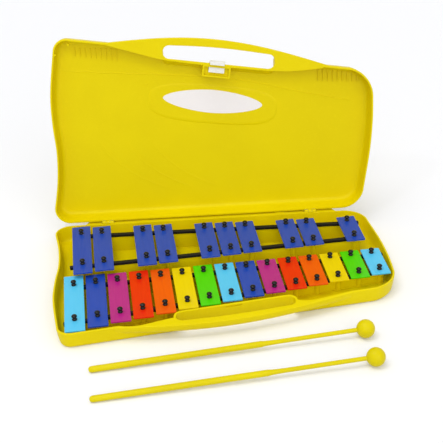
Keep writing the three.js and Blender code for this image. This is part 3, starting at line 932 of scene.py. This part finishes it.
paint(case_base(), CASE)
paint(case_lid(), CASE)
paint(label_plate(), LABEL_WHITE)
paint(latch_slider(), LATCH_WHITE)
for bar_node in BARS:
    place = "upper" if bar_node in UPPER_BARS else "lower"
    slot_name, finish = SHARP if bar_node in UPPER_BARS else ENAMELS[bar_node[4]]
    plate = bar_piece(bar_node, [f"{place}_back_rail", f"{place}_front_rail"])
    paint(plate, finish)
for rail_node in STRIPS:
    cushion, pins = rail_pieces(rail_node)
    paint(cushion, BLACK)
    paint(pins[0], PIN_BLACK)
for mallet in MALLETS:
    for part in mallet_pieces(*mallet):
        paint(part, MALLET)
for pin_node in ("hinge_pin_left", "hinge_pin_right"):
    for material_slot in frame["nodes"][pin_node].material_slots:
        material_slot.material = STEEL

# ---- floor, light and camera ----------------------------------------------------------


def seen_or_lit(tree, lit, shown):
    """lit for the light on the object, shown for what the camera, gloss and glass see."""
    path = tree.nodes.new("ShaderNodeLightPath")
    total = path.outputs["Is Camera Ray"]
    for name in ("Is Glossy Ray", "Is Transmission Ray"):
        either = tree.nodes.new("ShaderNodeMath")
        either.operation = "MAXIMUM"
        tree.links.new(total, either.inputs[0])
        tree.links.new(path.outputs[name], either.inputs[1])
        total = either.outputs[0]
    mix = tree.nodes.new("ShaderNodeMixShader")
    tree.links.new(total, mix.inputs[0])
    tree.links.new(lit, mix.inputs[1])
    tree.links.new(shown, mix.inputs[2])
    return mix.outputs[0]


def floor():
    size = FLOOR_HALF
    corners = [(-size, -size, 0), (size, -size, 0), (size, size, 0), (-size, size, 0)]
    obj = make("studio_floor", corners, [(0, 1, 2, 3)])
    material = bpy.data.materials.new("studio_floor")
    material.use_nodes = True
    tree = material.node_tree
    tree.nodes.clear()
    output = tree.nodes.new("ShaderNodeOutputMaterial")
    lit = tree.nodes.new("ShaderNodeBsdfDiffuse")
    lit.inputs["Color"].default_value = (0.8, 0.8, 0.8, 1)
    shown = tree.nodes.new("ShaderNodeBsdfDiffuse")
    shown.inputs["Color"].default_value = (0.83, 0.83, 0.84, 1)
    glow = tree.nodes.new("ShaderNodeEmission")
    glow.inputs["Color"].default_value = (1, 1, 1, 1)
    glow.inputs["Strength"].default_value = 0.1
    both = tree.nodes.new("ShaderNodeAddShader")
    tree.links.new(shown.outputs[0], both.inputs[0])
    tree.links.new(glow.outputs[0], both.inputs[1])
    tree.links.new(seen_or_lit(tree, lit.outputs[0], both.outputs[0]), output.inputs["Surface"])
    obj.data.materials.append(material)


def world():
    sky = bpy.data.worlds.new("studio")
    bpy.context.scene.world = sky
    sky.use_nodes = True
    tree = sky.node_tree
    tree.nodes.clear()
    output = tree.nodes.new("ShaderNodeOutputWorld")
    lit = tree.nodes.new("ShaderNodeBackground")
    lit.inputs["Color"].default_value = (0.97, 0.98, 1.0, 1)
    lit.inputs["Strength"].default_value = WORLD_LIGHT
    shown = tree.nodes.new("ShaderNodeBackground")
    shown.inputs["Color"].default_value = (1, 1, 1, 1)
    shown.inputs["Strength"].default_value = 1.0
    tree.links.new(seen_or_lit(tree, lit.outputs[0], shown.outputs[0]), output.inputs["Surface"])


def soft_sun(name, place, strength, spread_angle):
    """A wide sun, so that the light is even over the whole floor."""
    light = bpy.data.lights.new(name, "SUN")
    light.energy = strength
    light.angle = math.radians(spread_angle)
    obj = bpy.data.objects.new(name, light)
    bpy.context.scene.collection.objects.link(obj)
    obj.location = place
    obj.rotation_euler = (-Vector(place)).to_track_quat("-Z", "Y").to_euler()


def glint_light():
    """A small weak lamp in front, for a highlight on the pins and other gloss."""
    light = bpy.data.lights.new("glint", "AREA")
    light.shape = "DISK"
    light.size = GLINT["width"]
    light.energy = GLINT["power"]
    obj = bpy.data.objects.new("glint", light)
    bpy.context.scene.collection.objects.link(obj)
    obj.location = GLINT["place"]
    obj.rotation_euler = (Vector((0, 0, 0.03)) - obj.location).to_track_quat("-Z", "Y").to_euler()


def camera():
    level = math.cos(ELEVATION)
    forward = Vector((math.sin(AZIMUTH) * level, math.cos(AZIMUTH) * level, -math.sin(ELEVATION)))
    right = Vector((math.cos(AZIMUTH), -math.sin(AZIMUTH), 0))
    up = right.cross(forward)
    turned_right = math.cos(ROLL) * right + math.sin(ROLL) * up
    turned_up = -math.sin(ROLL) * right + math.cos(ROLL) * up
    data = bpy.data.cameras.new("camera")
    data.sensor_width = 36.0
    data.lens = LENS
    data.clip_end = 50.0
    obj = bpy.data.objects.new("camera", data)
    bpy.context.scene.collection.objects.link(obj)
    basis = Matrix((turned_right, turned_up, -forward)).transposed().to_4x4()
    obj.matrix_world = Matrix.Translation(CAMERA_PLACE) @ basis
    bpy.context.scene.camera = obj


floor()
world()
for sun in SUNS:
    soft_sun(*sun)
glint_light()
camera()
bpy.context.scene.view_settings.view_transform = "Standard"
